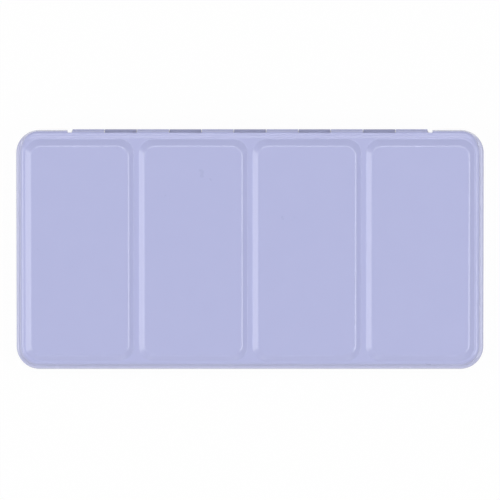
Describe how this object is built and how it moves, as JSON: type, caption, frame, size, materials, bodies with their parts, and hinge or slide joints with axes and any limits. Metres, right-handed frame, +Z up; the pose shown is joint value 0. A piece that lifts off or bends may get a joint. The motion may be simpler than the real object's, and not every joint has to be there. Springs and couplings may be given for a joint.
{
  "type": "watercolour paint tin",
  "caption": "Closed hinged metal watercolour tin with mixing wells raised in its lid, clipped rows of filled pans inside, and a folding thumb ring underneath.",
  "frame": {"origin": "under the middle of the tin, on the surface that it stands on", "axes": "+X along the tin to the right, +Y to the hinge, +Z up; the lid's front edge faces -Y"},
  "size_m": [0.236, 0.1212, 0.0198],
  "materials": {
    "lilac_lacquer": "gloss lilac lacquer",
    "white_enamel": "gloss white enamel",
    "spring_steel": "bright rolled steel",
    "steel_wire": "nickel plated wire",
    "pan_plastic": "white moulded plastic",
    "paint_01": "dry lemon yellow watercolour cake",
    "paint_02": "dry middle yellow watercolour cake",
    "paint_03": "dry warm yellow watercolour cake",
    "paint_04": "dry orange watercolour cake",
    "paint_05": "dry light red watercolour cake",
    "paint_06": "dry deep red watercolour cake",
    "paint_07": "dry crimson watercolour cake",
    "paint_08": "dry rose watercolour cake",
    "paint_09": "dry magenta watercolour cake",
    "paint_10": "dry violet watercolour cake",
    "paint_11": "dry deep violet watercolour cake",
    "paint_12": "dry ultramarine watercolour cake",
    "paint_13": "dry cobalt blue watercolour cake",
    "paint_14": "dry cyan blue watercolour cake",
    "paint_15": "dry deep blue watercolour cake",
    "paint_16": "dry turquoise watercolour cake",
    "paint_17": "dry blue green watercolour cake",
    "paint_18": "dry middle green watercolour cake",
    "paint_19": "dry sap green watercolour cake",
    "paint_20": "dry olive green watercolour cake",
    "paint_21": "dry yellow ochre watercolour cake",
    "paint_22": "dry burnt sienna watercolour cake",
    "paint_23": "dry dark umber watercolour cake",
    "paint_24": "dry neutral black watercolour cake"
  },
  "bodies": {
    "tray": {"tray": "lilac_lacquer", "rack_plate": "white_enamel", "hinge_pin": "steel_wire", "ring_strap": "lilac_lacquer", "strap_rivets": "spring_steel", "rail_rear_outer": "white_enamel", "rail_rear_inner": "white_enamel", "rail_front_inner": "white_enamel", "rail_front_outer": "white_enamel", "pan_01": "pan_plastic", "pan_02": "pan_plastic", "pan_03": "pan_plastic", "pan_04": "pan_plastic", "pan_05": "pan_plastic", "pan_06": "pan_plastic", "pan_07": "pan_plastic", "pan_08": "pan_plastic", "pan_09": "pan_plastic", "pan_10": "pan_plastic", "pan_11": "pan_plastic", "pan_12": "pan_plastic", "pan_13": "pan_plastic", "pan_14": "pan_plastic", "pan_15": "pan_plastic", "pan_16": "pan_plastic", "pan_17": "pan_plastic", "pan_18": "pan_plastic", "pan_19": "pan_plastic", "pan_20": "pan_plastic", "pan_21": "pan_plastic", "pan_22": "pan_plastic", "pan_23": "pan_plastic", "pan_24": "pan_plastic", "paint_01": "paint_01", "paint_02": "paint_02", "paint_03": "paint_03", "paint_04": "paint_04", "paint_05": "paint_05", "paint_06": "paint_06", "paint_07": "paint_07", "paint_08": "paint_08", "paint_09": "paint_09", "paint_10": "paint_10", "paint_11": "paint_11", "paint_12": "paint_12", "paint_13": "paint_13", "paint_14": "paint_14", "paint_15": "paint_15", "paint_16": "paint_16", "paint_17": "paint_17", "paint_18": "paint_18", "paint_19": "paint_19", "paint_20": "paint_20", "paint_21": "paint_21", "paint_22": "paint_22", "paint_23": "paint_23", "paint_24": "paint_24"},
    "lid": {"lid": "lilac_lacquer"},
    "thumb_ring": {"thumb_ring": "steel_wire"}
  },
  "joints": [
    {"name": "lid_hinge", "type": "hinge", "parent": "tray", "child": "lid", "pos_m": [0, 0.05925, 0.0128], "axis": [-1, 0, 0], "range_deg": [0, 180]},
    {"name": "ring_swing", "type": "hinge", "parent": "tray", "child": "thumb_ring", "pos_m": [0, -0.009, 0.00215], "axis": [-1, 0, 0], "range_deg": [0, 175]}
  ]
}
